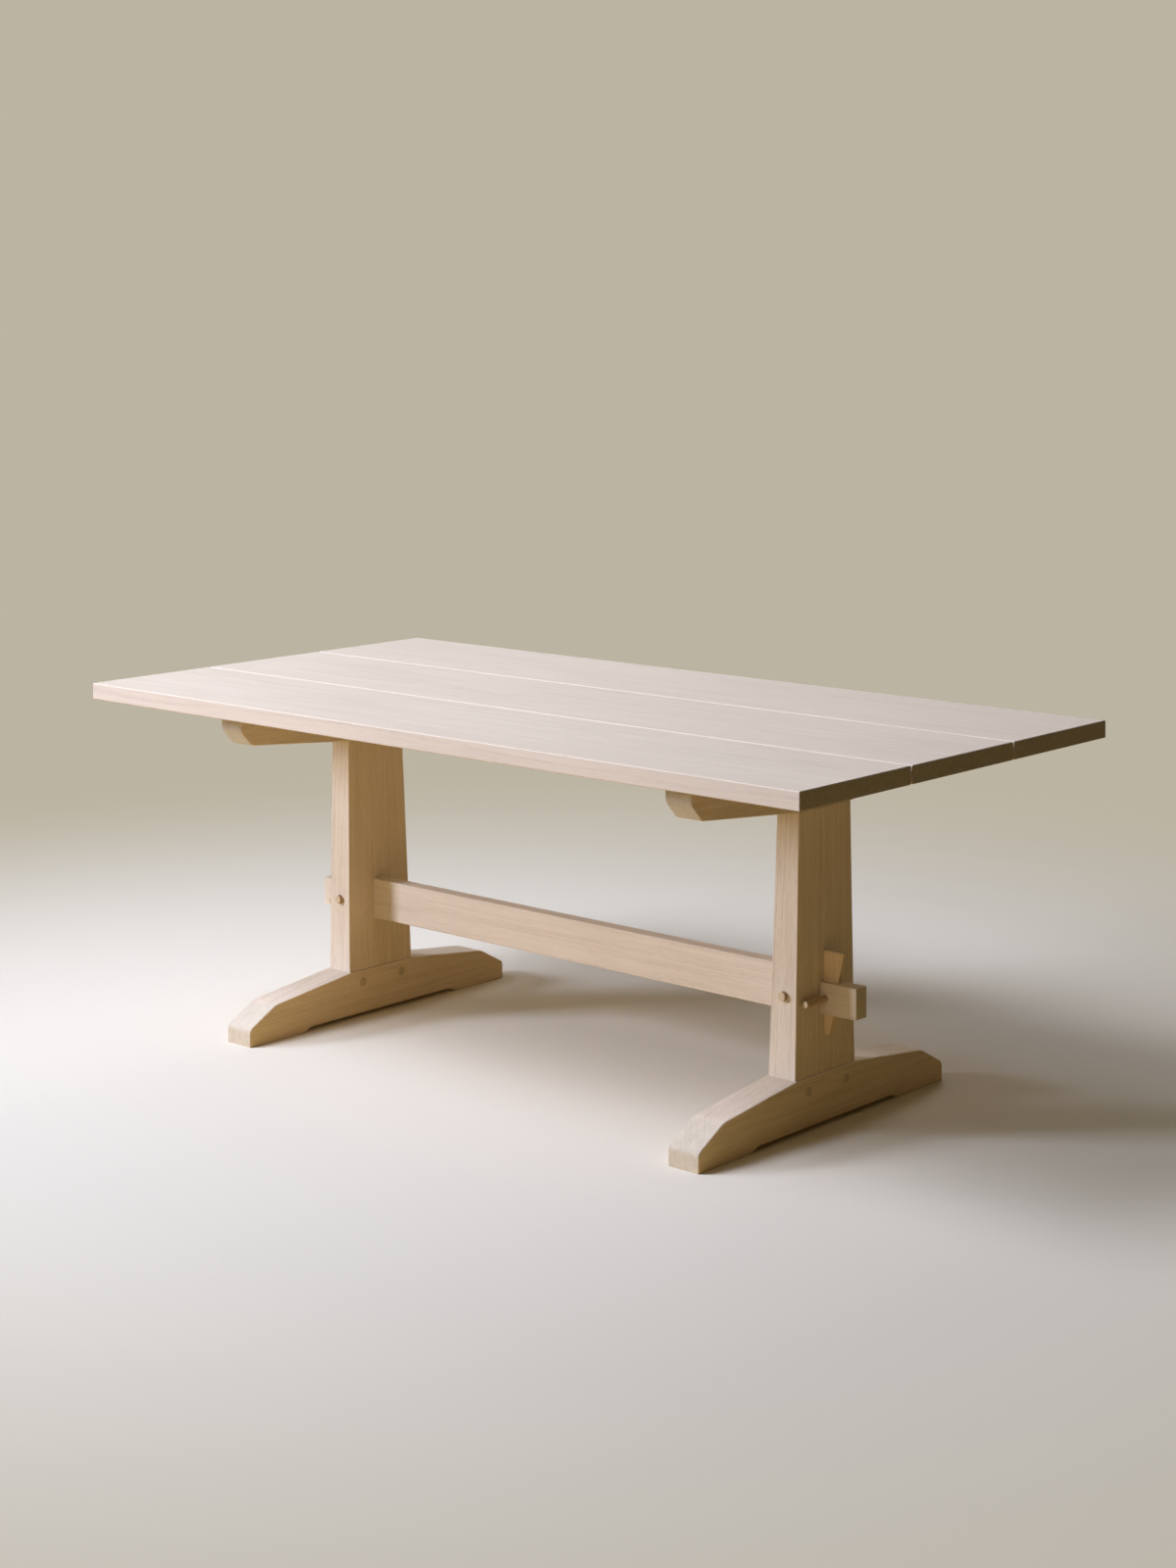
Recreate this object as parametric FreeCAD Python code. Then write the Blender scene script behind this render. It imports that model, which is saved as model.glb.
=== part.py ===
import FreeCAD, Part
import math
import os

# Trestle dining table in solid wood, held together by wedged through tenons.
# Millimetres. X runs along the table, Y across it with the front at -Y, Z up from the floor.
# The origin is on the floor under the middle of the top. Single pieces are drawn at the right end (+X).

# Table top
table_height = 740.0
top_length = 1900.0
board_width = 320.0
board_thickness = 34.0
board_gap = 5.0
board_bevel = 1.5
board_rows = {"front_board": -1, "middle_board": 0, "back_board": 1}

# Trestles: distance between the centre lines of the two feet
trestle_spacing = 1212.0

# Feet: high under the post, sloping to a break and then to low ends, relieved between two pads
foot_length = 760.0
foot_thickness = 72.0
foot_height = 102.0
foot_end_height = 37.0
foot_end_radius = 14.0
foot_break_height = 76.0
foot_break_inset = 71.0
foot_break_radius = 45.0
foot_pad_length = 151.0
foot_relief_height = 9.0
foot_relief_run = 22.0
foot_bevel = 1.5

# Posts: the outer face is plumb, the inner face and both edges taper
post_base_width = 186.0
post_base_thickness = 64.0
post_top_width = 161.0
post_top_thickness = 52.0
post_bevel = 1.5

# Blind tenons of the posts
foot_tenon_width = 158.0
foot_tenon_thickness = 24.0
foot_tenon_length = 70.0
bearer_tenon_width = 124.0
bearer_tenon_thickness = 20.0
bearer_tenon_length = 66.0

# Bearers: the foot's form upside down, with short chamfered ends
bearer_length = 784.0
bearer_thickness = 62.0
bearer_height = 102.0
bearer_end_height = 43.0
bearer_end_radius = 20.0
bearer_break_height = 75.5
bearer_break_inset = 30.0
bearer_break_radius = 14.0
bearer_bevel = 1.5

# Stretcher and its through tenons
stretcher_underside = 208.0
stretcher_height = 86.0
stretcher_thickness = 33.0
stretcher_bevel = 1.5
tenon_rise = 7.5
tenon_height = 59.0
tenon_bevel = 1.5
right_tenon_reach = 84.0
left_tenon_reach = 100.0

# Tusk wedges: flat against the post, tapered on the outer side, slotted for the locking pin
wedge_length = 162.0
wedge_thickness = 12.0
wedge_head_width = 46.0
wedge_tip_width = 13.0
wedge_tip_drop = 43.5
wedge_bevel = 1.2
wedge_lift = 12.0
wedge_undercut = 6.0

# Locking pins through tenon and wedge
pin_diameter = 13.0
pin_from_post = 11.5
pin_front_reach = 62.0
pin_back_reach = 12.0

# Pegs: one through each post's width, two across each foot, one across each bearer
stretcher_peg_diameter = 18.0
stretcher_peg_rise = 12.0
stretcher_peg_proud = 8.0
foot_peg_diameter = 19.0
foot_peg_spacing = 116.0
foot_peg_drop = 26.0
foot_peg_proud = 2.0
bearer_peg_diameter = 14.0
bearer_peg_rise = 30.0
dowel_bevel = 1.2

# Screws that hold the boards down, in counterbores from below
screw_diameter = 6.0
screw_head_diameter = 14.0
screw_head_height = 4.0
screw_grip = 32.0
screw_bite = 22.0
screw_edge_inset = 45.0
screw_end_inset = 110.0
screw_slot_play = 8.0
counterbore_diameter = 18.0

# Clearances on each side: for what slides, for what is driven in, and for screws in the bearers
sliding_clearance = 0.3
driven_clearance = 0.12
screw_clearance = 0.5

# Room at the end of every blind hole, overrun of every cut, and distance within which points are one
blind_end_room = 2.0
overrun = 20.0
same_point = 0.01

# Places that several pieces share
bearer_top = table_height - board_thickness
bearer_underside = bearer_top - bearer_height
board_pitch = board_width + board_gap
foot_centre = trestle_spacing / 2
post_face = foot_centre + post_base_thickness / 2
post_top_centre = post_face - post_top_thickness / 2
bearer_centre = post_face - bearer_thickness / 2
stretcher_top = stretcher_underside + stretcher_height
tenon_underside = stretcher_underside + tenon_rise
tenon_top = tenon_underside + tenon_height
tenon_middle = tenon_underside + tenon_height / 2
wedge_tip = tenon_underside - wedge_tip_drop
wedge_head = wedge_tip + wedge_length
pin_place = post_face + pin_from_post
screw_seat = bearer_top - screw_grip

# Directions, and the angle within which an edge counts as running along one
along_table = FreeCAD.Vector(1, 0, 0)
across_table = FreeCAD.Vector(0, 1, 0)
upward = FreeCAD.Vector(0, 0, 1)
same_direction = math.radians(15)


def point(x, y, z):
    return FreeCAD.Vector(x, y, z)


def between(low, high, share):
    return low + (high - low) * share


def post_share(height):
    """How far up a post a height is, from 0 on the foot to 1 under the bearer."""
    return (height - foot_height) / (bearer_underside - foot_height)


def post_inner(height):
    """Place along the table of the post's inner face."""
    return post_face - between(post_base_thickness, post_top_thickness, post_share(height))


def post_half_width(height):
    return between(post_base_width, post_top_width, post_share(height)) / 2


def wedge_outer(height):
    """Place along the table of the wedge's tapered side."""
    return post_face + between(wedge_tip_width, wedge_head_width, (height - wedge_tip) / wedge_length)


def block(centre, length, width, low, high):
    """Upright block at a place along the table, centred across it."""
    corner = point(centre - length / 2, -width / 2, low)
    return Part.makeBox(length, width, high - low, corner)


def prism(corners, direction, thickness):
    """Outline of points, each with the radius that rounds it, drawn out to both sides of its plane."""
    count = len(corners)
    edges = []
    stretches = []
    for index, (corner, radius) in enumerate(corners):
        to_last = (corners[index - 1][0] - corner).normalize()
        to_next = (corners[(index + 1) % count][0] - corner).normalize()
        half_angle = to_last.getAngle(to_next) / 2
        setback = radius / math.tan(half_angle)
        start = corner + to_last * setback
        finish = corner + to_next * setback
        stretches.append((start, finish))
        if radius:
            inward = (to_last + to_next).normalize()
            crown = corner + inward * (radius / math.sin(half_angle) - radius)
            edges.append(Part.Arc(start, crown, finish).toShape())
    for index, (start, finish) in enumerate(stretches):
        following = stretches[(index + 1) % count][0]
        if not finish.isEqual(following, same_point):
            edges.append(Part.makeLine(finish, following))
    outline = Part.Wire(Part.__sortEdges__(edges))
    outline.translate(direction * (-thickness / 2))
    return Part.Face(outline).extrude(direction * thickness)


def slot(middle, direction, length, radius, play_direction, play):
    """Round-ended slot, cut along one direction and lengthened by its play along another."""
    aside = direction.cross(play_direction) * radius
    ahead = play_direction * (play / 2 + radius)
    corners = [middle - aside - ahead, middle + aside - ahead, middle + aside + ahead, middle - aside + ahead]
    return prism([(corner, radius) for corner in corners], direction, length)


def rod(start, direction, length, diameter):
    return Part.makeCylinder(diameter / 2, length, start, direction)


def dowel(middle, direction, length, diameter):
    """Round rod centred on a point, with bevelled ends."""
    plain = rod(middle - direction * (length / 2), direction, length, diameter)
    rims = [edge for edge in plain.Edges if edge.isClosed()]
    return plain.makeChamfer(dowel_bevel, rims)


def runs_along(edge, direction):
    angle = edge.tangentAt(edge.FirstParameter).getAngle(direction)
    return min(angle, math.pi - angle) < same_direction


def both_ends(shape):
    """The shape at the right end of the table, and its mirror image at the left end."""
    return [shape, shape.mirror(point(0, 0, 0), along_table)]


def both_sides(profile):
    """Outline at one trestle, from its front half as steps of (place across, height, radius)."""
    front = [(point(foot_centre, -across, height), radius) for across, height, radius in profile]
    back = [(point(foot_centre, across, height), radius) for across, height, radius in profile]
    return front + back[::-1]


def screw_places():
    """Places across the table of one bearer's screws, with the play of the slots for the outer boards."""
    middle_board = board_width / 2 - screw_edge_inset
    outer_board = bearer_length / 2 - screw_end_inset
    rows = {middle_board: 0, outer_board: screw_slot_play}
    return {side * place: play for place, play in rows.items() for side in (-1, 1)}


def board(row):
    """One board of the top, with blind holes for its screws."""
    corner = point(-top_length / 2, row * board_pitch - board_width / 2, bearer_top)
    plank = Part.makeBox(top_length, board_width, board_thickness, corner)
    plank = plank.makeChamfer(board_bevel, plank.Edges)
    hole_size = screw_diameter + 2 * driven_clearance
    holes = []
    for place in screw_places():
        if abs(place - row * board_pitch) < board_width / 2:
            start = point(bearer_centre, place, bearer_top - overrun)
            holes += both_ends(rod(start, upward, overrun + screw_bite + blind_end_room, hole_size))
    return plank.cut(holes)


def foot_peg_centres():
    height = foot_height - foot_peg_drop
    return [point(foot_centre, side * foot_peg_spacing / 2, height) for side in (-1, 1)]


def bearer_peg_centre():
    return point(bearer_centre, 0, bearer_underside + bearer_peg_rise)


def stretcher_peg_centre():
    height = tenon_middle + stretcher_peg_rise
    return point((post_inner(height) + post_face) / 2, 0, height)


def peg_holes(centres, direction, length, diameter):
    size = diameter + 2 * driven_clearance
    depth = length + 2 * overrun
    return [rod(centre - direction * (depth / 2), direction, depth, size) for centre in centres]


def foot():
    """Floor member with its mortise for the post."""
    half = foot_length / 2
    pad_end = half - foot_pad_length
    profile = [
        (pad_end - foot_relief_run, foot_relief_height, 0),
        (pad_end, 0, 0),
        (half, 0, 0),
        (half, foot_end_height, foot_end_radius),
        (half - foot_break_inset, foot_break_height, foot_break_radius),
        (post_base_width / 2, foot_height, 0),
    ]
    beam = prism(both_sides(profile), along_table, foot_thickness)
    beam = beam.makeChamfer(foot_bevel, [edge for edge in beam.Edges if not runs_along(edge, along_table)])
    mortise = block(
        foot_centre,
        foot_tenon_thickness + 2 * driven_clearance,
        foot_tenon_width + 2 * driven_clearance,
        foot_height - foot_tenon_length - blind_end_room,
        foot_height + overrun,
    )
    holes = peg_holes(foot_peg_centres(), along_table, foot_thickness, foot_peg_diameter)
    return beam.cut([mortise] + holes)


def bearer():
    """Member under the boards, with its mortise for the post and its counterbored screw holes."""
    half = bearer_length / 2
    profile = [
        (half, bearer_top, 0),
        (half, bearer_top - bearer_end_height, bearer_end_radius),
        (half - bearer_break_inset, bearer_top - bearer_break_height, bearer_break_radius),
        (post_top_width / 2, bearer_underside, 0),
    ]
    beam = prism(both_sides(profile), along_table, bearer_thickness)
    beam.translate(along_table * (bearer_centre - foot_centre))
    beam = beam.makeChamfer(bearer_bevel, [edge for edge in beam.Edges if not runs_along(edge, along_table)])
    mortise = block(
        post_top_centre,
        bearer_tenon_thickness + 2 * driven_clearance,
        bearer_tenon_width + 2 * driven_clearance,
        bearer_underside - overrun,
        bearer_underside + bearer_tenon_length + blind_end_room,
    )
    cuts = [mortise] + peg_holes([bearer_peg_centre()], along_table, bearer_thickness, bearer_peg_diameter)
    for place, play in screw_places().items():
        seat = point(bearer_centre, place, screw_seat)
        counterbore_depth = screw_seat - bearer_underside + overrun
        cuts.append(rod(seat, -upward, counterbore_depth, counterbore_diameter))
        hole_radius = screw_diameter / 2 + screw_clearance
        if play:
            cuts.append(slot(seat, upward, 2 * (screw_grip + overrun), hole_radius, across_table, play))
        else:
            cuts.append(rod(seat, upward, screw_grip + overrun, 2 * hole_radius))
    return beam.cut(cuts)


def post():
    """Tapered slab with a blind tenon at each end and a through mortise for the stretcher."""
    base = post_base_width / 2
    crown = post_top_width / 2
    front_view = prism(
        both_sides([(base, foot_height, 0), (crown, bearer_underside, 0)]),
        along_table,
        post_base_thickness + 2 * overrun,
    )
    side_view = prism(
        [
            (point(post_inner(foot_height), 0, foot_height), 0),
            (point(post_face, 0, foot_height), 0),
            (point(post_face, 0, bearer_underside), 0),
            (point(post_inner(bearer_underside), 0, bearer_underside), 0),
        ],
        across_table,
        post_base_width + 2 * overrun,
    )
    slab = front_view.common(side_view)
    slab = slab.makeChamfer(post_bevel, [edge for edge in slab.Edges if runs_along(edge, upward)])
    lower_tenon = block(
        foot_centre,
        foot_tenon_thickness,
        foot_tenon_width,
        foot_height - foot_tenon_length,
        foot_height,
    )
    upper_tenon = block(
        post_top_centre,
        bearer_tenon_thickness,
        bearer_tenon_width,
        bearer_underside,
        bearer_underside + bearer_tenon_length,
    )
    mortise = block(
        foot_centre,
        post_base_thickness + 2 * overrun,
        stretcher_thickness + 2 * driven_clearance,
        tenon_underside - driven_clearance,
        tenon_top + driven_clearance,
    )
    holes = peg_holes(foot_peg_centres(), along_table, foot_thickness, foot_peg_diameter)
    holes += peg_holes([bearer_peg_centre()], along_table, bearer_thickness, bearer_peg_diameter)
    holes += peg_holes([stretcher_peg_centre()], across_table, post_base_width, stretcher_peg_diameter)
    return slab.fuse([lower_tenon, upper_tenon]).cut([mortise] + holes)


def wedge_mortise():
    """Upright hole in the tenon: sloped like the wedge, and reaching a little behind the post's face."""
    low = tenon_underside - overrun
    high = tenon_top + overrun
    inside = post_face - wedge_undercut
    corners = [
        point(inside, 0, low),
        point(wedge_outer(low) + sliding_clearance, 0, low),
        point(wedge_outer(high) + sliding_clearance, 0, high),
        point(inside, 0, high),
    ]
    return prism([(corner, 0) for corner in corners], across_table, wedge_thickness + 2 * sliding_clearance)


def stretcher():
    """Rail with shoulders cut to the posts' slope, and a through tenon at each end."""

    def end(side, reach):
        steps = [
            (post_inner(stretcher_underside), stretcher_underside),
            (post_inner(tenon_underside), tenon_underside),
            (post_face + reach, tenon_underside),
            (post_face + reach, tenon_top),
            (post_inner(tenon_top), tenon_top),
            (post_inner(stretcher_top), stretcher_top),
        ]
        return [(point(side * along, 0, height), 0) for along, height in steps]

    outline = end(1, right_tenon_reach) + end(-1, left_tenon_reach)[::-1]
    rail = prism(outline, across_table, stretcher_thickness)
    long_edges = [edge for edge in rail.Edges if edge.Length > trestle_spacing / 2]
    rail = rail.makeChamfer(stretcher_bevel, long_edges)
    tips = (post_face + right_tenon_reach, -post_face - left_tenon_reach)
    tip_edges = [edge for edge in rail.Edges for tip in tips if abs(edge.CenterOfMass.x - tip) < same_point]
    rail = rail.makeChamfer(tenon_bevel, tip_edges)
    pin_size = pin_diameter + 2 * sliding_clearance
    pin_hole_length = stretcher_thickness + 2 * overrun
    pin_hole_start = point(pin_place, -pin_hole_length / 2, tenon_middle)
    pin_hole = rod(pin_hole_start, across_table, pin_hole_length, pin_size)
    holes = peg_holes([stretcher_peg_centre()], across_table, stretcher_thickness, stretcher_peg_diameter)
    holes += [wedge_mortise(), pin_hole]
    return rail.cut([cut for hole in holes for cut in both_ends(hole)])


def wedge():
    """Tusk wedge, with a slot that lets it be knocked up by its lift while the pin keeps it."""
    corners = [
        point(post_face, 0, wedge_tip),
        point(wedge_outer(wedge_tip), 0, wedge_tip),
        point(wedge_outer(wedge_head), 0, wedge_head),
        point(post_face, 0, wedge_head),
    ]
    body = prism([(corner, 0) for corner in corners], across_table, wedge_thickness)
    body = body.makeChamfer(wedge_bevel, body.Edges)
    slot_middle = point(pin_place, 0, tenon_middle - wedge_lift / 2)
    slot_radius = pin_diameter / 2 + sliding_clearance
    slot_length = wedge_thickness + 2 * overrun
    return body.cut(slot(slot_middle, across_table, slot_length, slot_radius, upward, wedge_lift))


def wedge_pin():
    length = pin_front_reach + stretcher_thickness + pin_back_reach
    middle = point(pin_place, (pin_back_reach - pin_front_reach) / 2, tenon_middle)
    return dowel(middle, across_table, length, pin_diameter)


def stretcher_peg():
    centre = stretcher_peg_centre()
    length = 2 * (post_half_width(centre.z) + stretcher_peg_proud)
    return dowel(centre, across_table, length, stretcher_peg_diameter)


def foot_pegs():
    length = foot_thickness + 2 * foot_peg_proud
    centres = foot_peg_centres()
    return Part.makeCompound([dowel(centre, along_table, length, foot_peg_diameter) for centre in centres])


def bearer_peg():
    start = bearer_peg_centre() - along_table * (bearer_thickness / 2)
    return rod(start, along_table, bearer_thickness, bearer_peg_diameter)


def bearer_screws():
    """Flat-headed screws with plain shanks."""
    screws = []
    for place in screw_places():
        seat = point(bearer_centre, place, screw_seat)
        head = rod(seat, -upward, screw_head_height, screw_head_diameter)
        shank = rod(seat, upward, screw_grip + screw_bite, screw_diameter)
        screws.append(head.fuse(shank))
    return Part.makeCompound(screws)


def export(name, shape):
    shape.exportStep(os.path.join("parts", name + ".step"))


os.makedirs("parts", exist_ok=True)

for board_name, board_row in board_rows.items():
    export(board_name, board(board_row))
export("stretcher", stretcher())

trestle_pieces = {
    "foot": foot,
    "post": post,
    "bearer": bearer,
    "wedge": wedge,
    "wedge_pin": wedge_pin,
    "stretcher_peg": stretcher_peg,
    "foot_pegs": foot_pegs,
    "bearer_peg": bearer_peg,
    "bearer_screws": bearer_screws,
}
for piece_name, make_piece in trestle_pieces.items():
    right_piece, left_piece = both_ends(make_piece())
    export("right_" + piece_name, right_piece)
    export("left_" + piece_name, left_piece)
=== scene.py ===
import math
from collections import namedtuple

import bmesh
import bpy
from mathutils import Color, Matrix, Vector


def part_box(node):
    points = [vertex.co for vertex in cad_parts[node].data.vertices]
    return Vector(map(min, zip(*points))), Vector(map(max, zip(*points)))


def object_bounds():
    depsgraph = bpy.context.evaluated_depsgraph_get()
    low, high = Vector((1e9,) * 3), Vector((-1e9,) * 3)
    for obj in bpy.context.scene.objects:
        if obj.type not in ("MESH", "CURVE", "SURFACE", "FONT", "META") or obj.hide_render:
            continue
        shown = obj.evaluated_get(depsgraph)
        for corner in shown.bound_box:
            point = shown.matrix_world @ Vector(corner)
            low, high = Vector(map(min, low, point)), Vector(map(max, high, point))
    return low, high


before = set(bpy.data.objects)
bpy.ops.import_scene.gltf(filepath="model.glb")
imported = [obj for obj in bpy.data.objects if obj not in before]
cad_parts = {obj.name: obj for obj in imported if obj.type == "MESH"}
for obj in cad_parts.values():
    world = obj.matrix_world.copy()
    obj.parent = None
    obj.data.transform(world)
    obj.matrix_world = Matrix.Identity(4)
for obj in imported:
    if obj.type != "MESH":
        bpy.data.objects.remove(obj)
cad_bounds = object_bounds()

# The table's own sizes, from which floor, lamps and camera take theirs
low_corner, high_corner = cad_bounds
table_length = high_corner.x - low_corner.x
table_height = high_corner.z - low_corner.z
middle_height = table_height / 2

# Directions of the grain, and the turns that lay each of them along the figure's own X axis
ALONG = "X"
ACROSS = "Y"
UPRIGHT = "Z"
right_angle = 90
quarter_turn = math.radians(right_angle)
GRAIN_TURN = {
    ALONG: (0.0, 0.0, 0.0),
    ACROSS: (0.0, 0.0, -quarter_turn),
    UPRIGHT: (0.0, quarter_turn, 0.0),
}

# Full strength of a channel of a display colour
full_channel = 255


def display(*channels):
    """Scene colour of a display colour, from its red, green and blue channels."""
    shown = Color([channel / full_channel for channel in channels])
    return (*shown.from_srgb_to_scene_linear(), 1.0)


# Finishes of the oak: pairs of a pale and a deep tone, lengths in metres, how much paler its bevels are
# (worn arrises with a painted highlight), and deeper tones for the long edges, which are painted shade
Oak = namedtuple("Oak", "tones end_tones ring_width bend wear edge_tones", defaults=(None,))
TOP_OAK = Oak(
    tones=(display(231, 218, 206), display(205, 191, 179)),
    end_tones=(display(172, 161, 140), display(132, 120, 98)),
    ring_width=0.0034,
    bend=0.03,
    wear=0.0,
    edge_tones=(display(219, 204, 192), display(199, 184, 172)),
)
FRAME_OAK = Oak(
    tones=(display(234, 222, 211), display(191, 173, 154)),
    end_tones=(display(203, 195, 184), display(165, 155, 142)),
    ring_width=0.0034,
    bend=0.01,
    wear=0.2,
)
STRETCHER_OAK = FRAME_OAK._replace(tones=(display(228, 216, 205), display(200, 184, 169)), bend=0.02)
WEDGE_OAK = FRAME_OAK._replace(tones=(display(235, 215, 187), display(201, 173, 137)), ring_width=0.0026)
PEG_OAK = FRAME_OAK._replace(tones=(display(192, 165, 134), display(154, 125, 94)), ring_width=0.002)
PIN_OAK = PEG_OAK._replace(end_tones=(display(226, 209, 186), display(192, 171, 144)))

# Other colours
ZINC = display(190, 192, 194)
DULL_ZINC = display(160, 162, 164)
FLOOR_SEEN = display(225, 220, 212)
FLOOR_BOUNCE = display(226, 191, 114)
FLOOR_FAR = display(90, 72, 46)
BACKDROP = display(188, 180, 162)
FILL_LIGHT = display(232, 204, 128)

# Sockets of a Mix node that take and give colours
MIX_FACTOR = 0
MIX_FIRST = 6
MIX_SECOND = 7
MIX_COLOUR = 2

# A noise, with the length, width and thickness of its spots
Figure = namedtuple("Figure", "length width thickness detail roughness", defaults=(2.0, 0.5))
noise_middle = 0.5


class Wire:
    """An output of a shader node that takes part in Python arithmetic."""

    def __init__(self, tree, socket=None):
        self.tree = tree
        self.socket = socket

    def node(self, kind, settings, inputs, output=0):
        """Adds a node, with its settings before its values and links, and returns one of its outputs."""
        made = self.tree.nodes.new(kind)
        for name, value in settings.items():
            setattr(made, name, value)
        for name, value in inputs.items():
            if isinstance(value, Wire):
                self.tree.links.new(value.socket, made.inputs[name])
            else:
                made.inputs[name].default_value = value
        return Wire(self.tree, made.outputs[output]) if made.outputs else None

    def math(self, operation, first, second=0.0):
        """Result of a Math node on one or two values."""
        return self.node("ShaderNodeMath", {"operation": operation}, {0: first, 1: second})

    def __add__(self, other):
        return self.math("ADD", self, other)

    def __radd__(self, other):
        return self.math("ADD", other, self)

    def __sub__(self, other):
        return self.math("SUBTRACT", self, other)

    def __rsub__(self, other):
        return self.math("SUBTRACT", other, self)

    def __mul__(self, other):
        return self.math("MULTIPLY", self, other)

    def __rmul__(self, other):
        return self.math("MULTIPLY", other, self)

    def __truediv__(self, other):
        return self.math("DIVIDE", self, other)

    def __rtruediv__(self, other):
        return self.math("DIVIDE", other, self)

    def __pow__(self, other):
        return self.math("POWER", self, other)

    def __rpow__(self, other):
        return self.math("POWER", other, self)

    def __abs__(self):
        return self.math("ABSOLUTE", self)

    def most(self, other):
        """The larger of two values."""
        return self.math("MAXIMUM", self, other)

    def part(self):
        """What is left of a value above its whole number."""
        return self.math("FRACT", self)

    def diagonal(self, other):
        """Straight distance over two steps at right angles."""
        return (self ** 2.0 + other ** 2.0) ** 0.5

    def step(self, low, high):
        """Smooth step from 0 at low to 1 at high."""
        limits = {"Value": self, "From Min": low, "From Max": high}
        return self.node("ShaderNodeMapRange", {"interpolation_type": "SMOOTHSTEP"}, limits)

    def axis(self, name):
        """One of the three numbers of a vector."""
        return self.node("ShaderNodeSeparateXYZ", {}, {"Vector": self}, name)

    def mapped(self, **moves):
        """A vector moved or turned by a Mapping node."""
        return self.node("ShaderNodeMapping", {"vector_type": "POINT"}, {"Vector": self, **moves})

    def noise(self, figure):
        """Noise from 0 to 1 at this vector."""
        scale = [1.0 / extent for extent in (figure.length, figure.width, figure.thickness)]
        spots = self.node("ShaderNodeVectorMath", {"operation": "MULTIPLY"}, {0: self, 1: scale})
        values = {"Vector": spots, "Scale": 1.0, "Detail": figure.detail, "Roughness": figure.roughness}
        return self.node("ShaderNodeTexNoise", {}, values)

    def sway(self, figure):
        """Noise that goes as far below 0 as above it."""
        return self.noise(figure) - noise_middle


def mixed(factor, first, second):
    """Colour between two colours."""
    settings = {"data_type": "RGBA", "clamp_factor": True}
    inputs = {MIX_FACTOR: factor, MIX_FIRST: first, MIX_SECOND: second}
    return factor.node("ShaderNodeMix", settings, inputs, MIX_COLOUR)


def new_material(name):
    """Empty material, and a wire to start its nodes from."""
    material = bpy.data.materials.new(name)
    material.use_nodes = True
    material.node_tree.nodes.clear()
    return material, Wire(material.node_tree)


def object_place(start):
    """Where a point of the surface lies, in metres from the table's origin."""
    return start.node("ShaderNodeTexCoord", {}, {}, "Object")


def finish_material(shader):
    """Joins a shader to the material's output."""
    shader.node("ShaderNodeOutputMaterial", {}, {"Surface": shader})


# Figure of the oak, with lengths along the grain, in metres
DRIFT = Figure(length=0.9, width=0.14, thickness=0.14)
RIPPLE = Figure(length=0.2, width=0.017, thickness=0.017)
FIBRE = Figure(length=0.071, width=0.0019, thickness=0.0019, detail=3.0, roughness=0.65)
STREAK = Figure(length=0.31, width=0.0105, thickness=0.0105, detail=4.0, roughness=0.6)
CLOUD = Figure(length=0.42, width=0.17, thickness=0.17, detail=3.0, roughness=0.6)
RAY = Figure(length=0.025, width=0.0067, thickness=0.0021)
PORE = Figure(length=0.022, width=0.0009, thickness=0.0009, roughness=0.6)
ray_marks = (0.58, 0.74)
pore_marks = (0.38, 0.62)
ripple_height = 0.002

# Rings, in years: how long a spell of weather lasts, how far it shifts a ring, and where early wood lies
WEATHER = Figure(length=1.7, width=1.0, thickness=1.0, roughness=0.7)
weather_shift = 2.6
early_wood_start = (-0.02, 0.12)
early_wood_end = (0.05, 0.6)
porous_weather = (0.35, 0.7)
fewest_pores = 0.25

# Steps between one piece's stretch of figure and the next one's
seed_step = (3.7, 1.3, 2.1)
weather_seed_step = 5.3

# How much each part of the figure deepens the colour, and the finish's limits
pore_depth = 0.75
streak_depth = 1.0
fibre_depth = 0.7
cloud_depth = 0.6
ray_paleness = 0.16
plain_depth = 0.3
depth_limits = (-0.25, 1.25)
end_share = 0.85

# Sheen and relief of the soaped surface, with the height of its relief in metres
soap_roughness = 0.56
fibre_roughness = 0.22
end_roughness = 0.16
bevel_polish = 0.1
soap_gloss = 0.35
fibre_relief = 0.5
streak_relief = 0.2
pore_relief = 0.8
relief_strength = 0.3
relief_height = 0.0003

# How squarely a face looks along the grain, across the table, or along any axis, where its kind changes
end_grain_turn = (0.2, 0.65)
long_edge_turn = (0.8, 0.95)
bevel_turn = (0.72, 0.97)


def growth_rings(place, shifted, oak, pith, seed):
    """Early wood of rings about a pith beside the piece, and the weather that makes no two years alike."""
    beside, above = pith
    from_pith = (place.axis("Y") - beside).diagonal(place.axis("Z") - above)
    from_pith = from_pith + shifted.sway(DRIFT) * oak.bend + shifted.sway(RIPPLE) * ripple_height
    year = from_pith / oak.ring_width
    spell = year.node("ShaderNodeCombineXYZ", {}, {"X": year, "Y": seed * weather_seed_step})
    weather = spell.noise(WEATHER)
    ring = (year + weather * weather_shift).part()
    early_wood = ring.step(*early_wood_start) * (1.0 - ring.step(*early_wood_end))
    return early_wood, weather


def face_kinds(start, grain):
    """How far a face is end grain, a long edge and a bevel, from the way it points."""
    normal = start.node("ShaderNodeTexCoord", {}, {}, "Normal")
    facing = {axis: abs(normal.axis(axis)) for axis in GRAIN_TURN}
    end_grain = facing[grain].step(*end_grain_turn)
    long_edge = facing[ACROSS].step(*long_edge_turn)
    squareness = facing[ALONG].most(facing[ACROSS]).most(facing[UPRIGHT])
    bevel = 1.0 - squareness.step(*bevel_turn)
    return end_grain, long_edge, bevel


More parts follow.
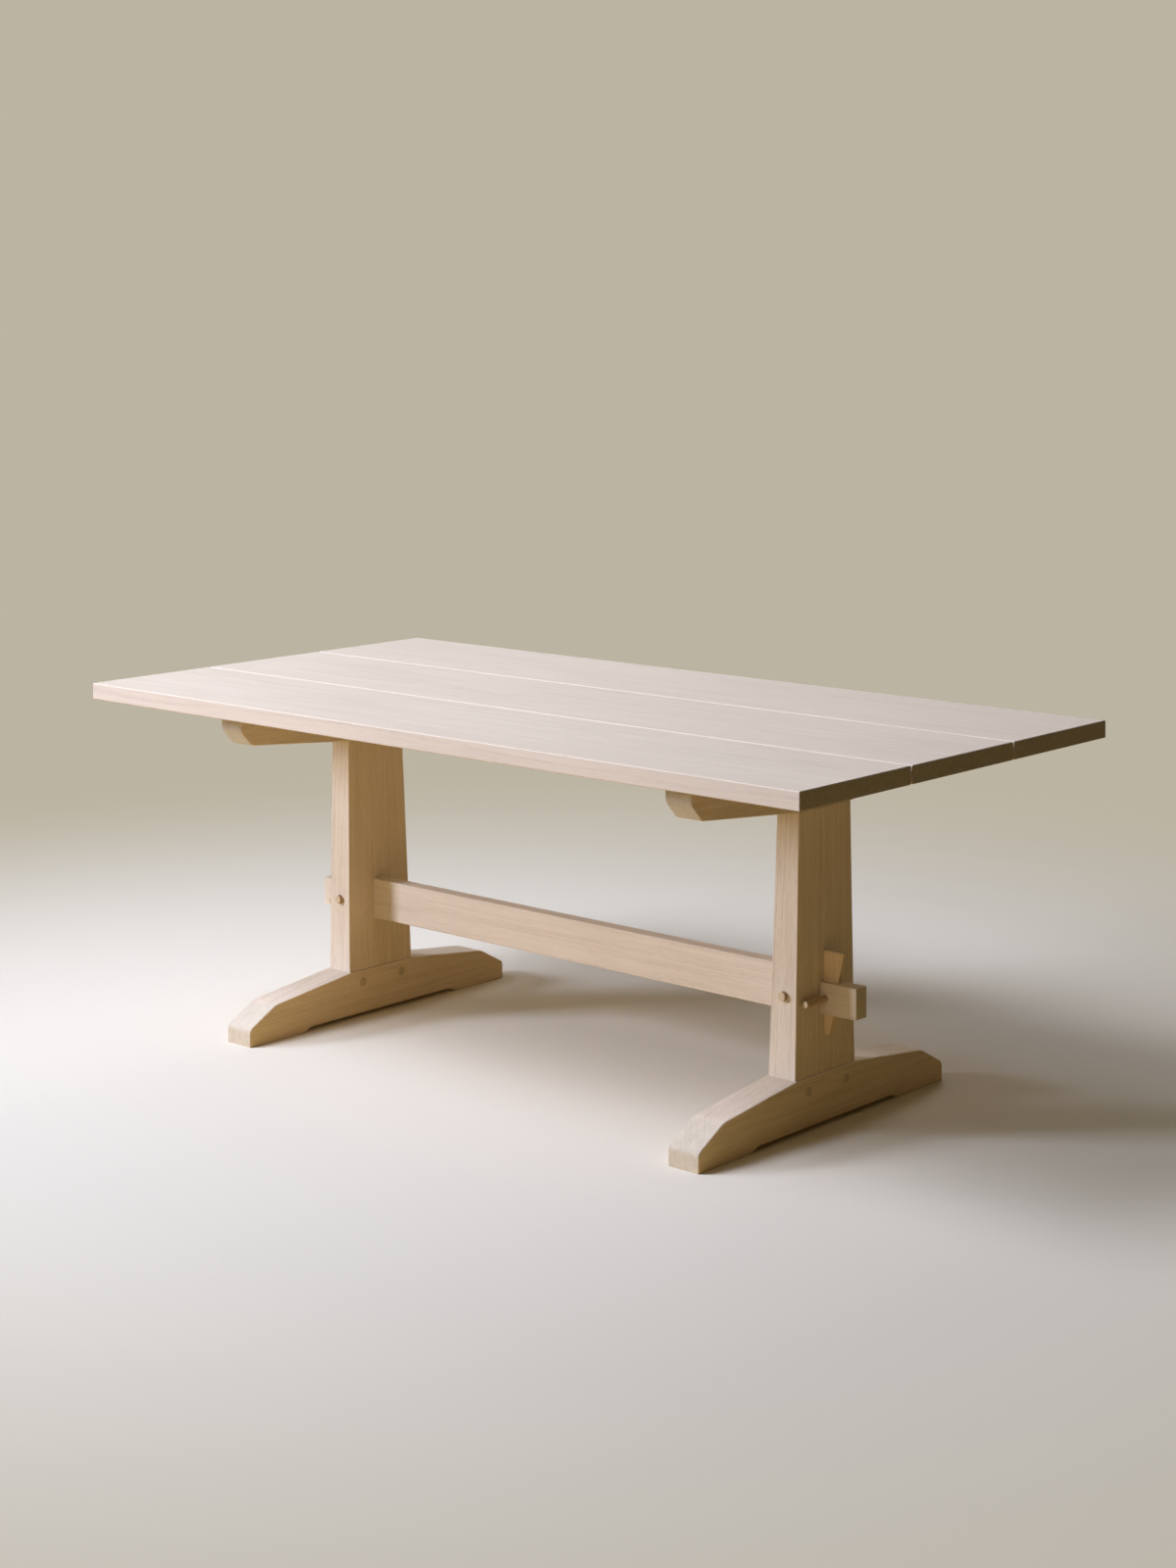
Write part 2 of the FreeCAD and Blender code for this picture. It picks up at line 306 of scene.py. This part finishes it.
def soaped_oak(name, centre, oak, grain, pith, seed):
    """Pale soaped oak with rings, fibres, pores in short dashes, pale rays, duller ends, worn bevels with a
    painted highlight, and, where given, long edges in deeper tones as painted shade.
    """
    material, start = new_material(name)
    centred = object_place(start).mapped(Location=-Vector(centre))
    place = centred.mapped(Rotation=GRAIN_TURN[grain])
    shifted = place.mapped(Location=Vector(seed_step) * seed)
    early_wood, weather = growth_rings(place, shifted, oak, pith, seed)
    end_grain, long_edge, bevel = face_kinds(start, grain)

    fibre = shifted.sway(FIBRE)
    streak = shifted.sway(STREAK)
    cloud = shifted.sway(CLOUD)
    ray = shifted.noise(RAY).step(*ray_marks)
    dash = shifted.noise(PORE).step(*pore_marks)
    pore = early_wood * dash * (fewest_pores + weather.step(*porous_weather) * (1.0 - fewest_pores))

    depth = plain_depth + streak * streak_depth + fibre * fibre_depth + cloud * cloud_depth
    # Bevels turn paler: worn arrises and a painted highlight along them
    depth = depth + pore * pore_depth - ray * ray_paleness - bevel * oak.wear
    depth = depth.step(*depth_limits)
    colour = mixed(depth, *oak.tones)
    # Long edges take deeper tones: painted shade on the boards' front and back edges
    if oak.edge_tones:
        colour = mixed(long_edge, colour, mixed(depth, *oak.edge_tones))
    colour = mixed(end_grain * end_share, colour, mixed(depth, *oak.end_tones))

    roughness = soap_roughness + fibre * fibre_roughness + end_grain * end_roughness - bevel * bevel_polish
    relief = fibre * fibre_relief + streak * streak_relief - pore * pore_relief
    bump_values = {"Strength": relief_strength, "Distance": relief_height, "Height": relief}
    bump = relief.node("ShaderNodeBump", {}, bump_values)
    values = {"Base Color": colour, "Roughness": roughness, "Normal": bump, "Specular IOR Level": soap_gloss}
    finish_material(colour.node("ShaderNodeBsdfPrincipled", {}, values))
    return material


# Zinc plating: spots of its mottle in metres, where they are dull, and its roughness
MOTTLE = Figure(length=0.004, width=0.004, thickness=0.004, detail=3.0)
dull_marks = (0.3, 0.75)
zinc_roughness = 0.28
mottle_roughness = 0.2


def bright_zinc():
    """Zinc plating with a fine dull mottle."""
    material, start = new_material("bright_zinc")
    mottle = object_place(start).noise(MOTTLE)
    colour = mixed(mottle.step(*dull_marks), ZINC, DULL_ZINC)
    roughness = zinc_roughness + mottle * mottle_roughness
    values = {"Base Color": colour, "Roughness": roughness, "Metallic": 1.0}
    finish_material(colour.node("ShaderNodeBsdfPrincipled", {}, values))
    return material


def coat(node_name, material):
    """Gives a CAD node its material."""
    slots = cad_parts[node_name].data.materials
    slots.clear()
    slots.append(material)


def coat_with_oak(node_name, oak, grain, pith, seed):
    """Gives a CAD node oak of its own, with the pith placed from the node's middle."""
    low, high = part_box(node_name)
    middle = [(a + b) / 2 for a, b in zip(low, high)]
    coat(node_name, soaped_oak(node_name + "_oak", middle, oak, grain, pith, seed))


# Pieces of oak: finish, direction of the grain, and metres from the middle of the piece to the pith
BOARD_PITHS = {
    "front_board": (0.07, -0.085),
    "middle_board": (-0.03, -0.12),
    "back_board": (-0.09, -0.075),
}
STRETCHER_PITH = (-0.09, 0.05)
TRESTLE_PIECES = {
    "post": (FRAME_OAK, UPRIGHT, (0.31, 0.24)),
    "foot": (FRAME_OAK, ACROSS, (0.12, -0.16)),
    "bearer": (FRAME_OAK, ACROSS, (-0.14, 0.15)),
    "wedge": (WEDGE_OAK, UPRIGHT, (0.02, 0.06)),
    "wedge_pin": (PIN_OAK, ACROSS, (0.03, 0.01)),
    "stretcher_peg": (PIN_OAK, ACROSS, (0.02, 0.03)),
    "foot_pegs": (PEG_OAK, ALONG, (0.1, 0.02)),
    "bearer_peg": (PEG_OAK, ALONG, (0.02, 0.03)),
}
TRESTLE_SEEDS = {"left": 10, "right": 20}
STRETCHER_SEED = 30


def dress_top():
    """Gives each board its own stretch of the top's oak."""
    for seed, (board_name, pith) in enumerate(BOARD_PITHS.items(), 1):
        coat_with_oak(board_name, TOP_OAK, ALONG, pith, seed)


def dress_trestle(side):
    """Gives each piece of a trestle its own stretch of oak, so that no two look alike."""
    first_seed = TRESTLE_SEEDS[side] + 1
    for seed, (piece_name, oak_grain_pith) in enumerate(TRESTLE_PIECES.items(), first_seed):
        coat_with_oak(side + "_" + piece_name, *oak_grain_pith, seed)


def dress_screws():
    """Gives the screws under both bearers one zinc."""
    zinc = bright_zinc()
    for side in TRESTLE_SEEDS:
        coat(side + "_bearer_screws", zinc)


dress_top()
for trestle_side in TRESTLE_SEEDS:
    dress_trestle(trestle_side)
coat_with_oak("stretcher", STRETCHER_OAK, ALONG, STRETCHER_PITH, STRETCHER_SEED)
dress_screws()


# Floor and backdrop
floor_reach = table_length * 30
floor_fade = (table_length * 0.35, table_length * 1.8)


def eye_rays(start):
    """1 on rays that show floor and backdrop to the eye, straight or in a gloss, and 0 on the rest."""
    kinds = ("Is Camera Ray", "Is Glossy Ray", "Is Transmission Ray")
    return sum(start.node("ShaderNodeLightPath", {}, {}, kind) for kind in kinds)


def floor_paint():
    """Pale paint that throws a warm light back, and turns into the backdrop far from the table."""
    material, start = new_material("floor_paint")
    seen = eye_rays(start)
    colour = mixed(seen, FLOOR_BOUNCE, FLOOR_SEEN)
    painted = colour.node("ShaderNodeBsdfDiffuse", {}, {"Color": colour})
    far_colour = mixed(seen, FLOOR_FAR, BACKDROP)
    far = colour.node("ShaderNodeEmission", {}, {"Color": far_colour, "Strength": 1.0})
    place = object_place(start)
    fade = place.axis("X").diagonal(place.axis("Y")).step(*floor_fade)
    finish_material(fade.node("ShaderNodeMixShader", {}, {0: fade, 1: painted, 2: far}))
    return material


def floor():
    """One wide sheet under the pads of the feet."""
    mesh = bpy.data.meshes.new("floor")
    sheet = bmesh.new()
    bmesh.ops.create_grid(sheet, x_segments=1, y_segments=1, size=floor_reach)
    bmesh.ops.translate(sheet, verts=sheet.verts, vec=(0.0, 0.0, low_corner.z))
    sheet.to_mesh(mesh)
    sheet.free()
    mesh.materials.append(floor_paint())
    made = bpy.data.objects.new("floor", mesh)
    bpy.context.scene.collection.objects.link(made)


# Lamps: degrees from straight in front and from level, distance and size in table lengths, power in watts
COOL = (0.905, 0.985, 1.19)
SOFT_COOL = (0.94, 0.985, 1.11)
SOFT_WARM = (1.0, 0.97, 0.93)
WARM = (1.12, 0.97, 0.78)
Lamp = namedtuple("Lamp", "azimuth elevation distance size power colour")
LAMPS = {
    "key_light": Lamp(azimuth=-46, elevation=18, distance=4.2, size=0.9, power=455, colour=COOL),
    "soft_light": Lamp(azimuth=-42, elevation=52, distance=3.0, size=1.3, power=280, colour=SOFT_COOL),
    "back_light": Lamp(azimuth=-152, elevation=38, distance=3.0, size=1.3, power=60, colour=SOFT_WARM),
    "front_light": Lamp(azimuth=6, elevation=12, distance=4.0, size=1.3, power=42, colour=WARM),
}
fill_strength = 0.065


def direction(azimuth, elevation):
    """Unit vector from the table, turned right from straight in front and raised from level."""
    turn = math.radians(azimuth)
    rise = math.radians(elevation)
    return Vector((math.sin(turn) * math.cos(rise), -math.cos(turn) * math.cos(rise), math.sin(rise)))


def hang_lamp(name, lamp):
    """Square lamp that faces the middle of the table and leaves no glare on it."""
    data = bpy.data.lights.new(name, "AREA")
    data.energy = lamp.power
    data.size = lamp.size * table_length
    data.color = lamp.colour
    towards = direction(lamp.azimuth, lamp.elevation)
    made = bpy.data.objects.new(name, data)
    made.location = Vector((0.0, 0.0, middle_height)) + towards * lamp.distance * table_length
    made.rotation_euler = towards.to_track_quat("Z", "Y").to_euler()
    made.visible_glossy = False
    bpy.context.scene.collection.objects.link(made)


def studio_air():
    """Warm weak fill from all round, where the eye sees the plain backdrop."""
    world = bpy.data.worlds.new("studio_air")
    world.use_nodes = True
    world.node_tree.nodes.clear()
    start = Wire(world.node_tree)
    fill = start.node("ShaderNodeBackground", {}, {"Color": FILL_LIGHT, "Strength": fill_strength})
    backdrop = start.node("ShaderNodeBackground", {}, {"Color": BACKDROP, "Strength": 1.0})
    both = start.node("ShaderNodeMixShader", {}, {0: eye_rays(start), 1: fill, 2: backdrop})
    start.node("ShaderNodeOutputWorld", {}, {"Surface": both})
    bpy.context.scene.world = world


# Camera: place in table lengths, angles in degrees, and focal length and shift in picture heights
camera_place = (1.9275, -2.1168, 0.8326)
camera_azimuth = 41.986
camera_elevation = 2.242
camera_roll = -0.254
focal_length = 1.7125
camera_shift = -0.25


def camera():
    """Camera almost level and shifted down, because upright lines stay upright in the photograph."""
    data = bpy.data.cameras.new("camera")
    data.lens = focal_length * data.sensor_width
    data.shift_y = camera_shift
    back = direction(camera_azimuth, camera_elevation)
    level_right = direction(camera_azimuth + right_angle, 0)
    level_up = back.cross(level_right)
    roll = math.radians(camera_roll)
    right = level_right * math.cos(roll) + level_up * math.sin(roll)
    up = level_up * math.cos(roll) - level_right * math.sin(roll)
    turn = Matrix((right, up, back)).transposed()
    made = bpy.data.objects.new("camera", data)
    made.matrix_world = Matrix.Translation(Vector(camera_place) * table_length) @ turn.to_4x4()
    bpy.context.scene.collection.objects.link(made)
    bpy.context.scene.camera = made


floor()
for lamp_name, lamp_values in LAMPS.items():
    hang_lamp(lamp_name, lamp_values)
studio_air()
camera()
bpy.context.scene.view_settings.view_transform = "Standard"
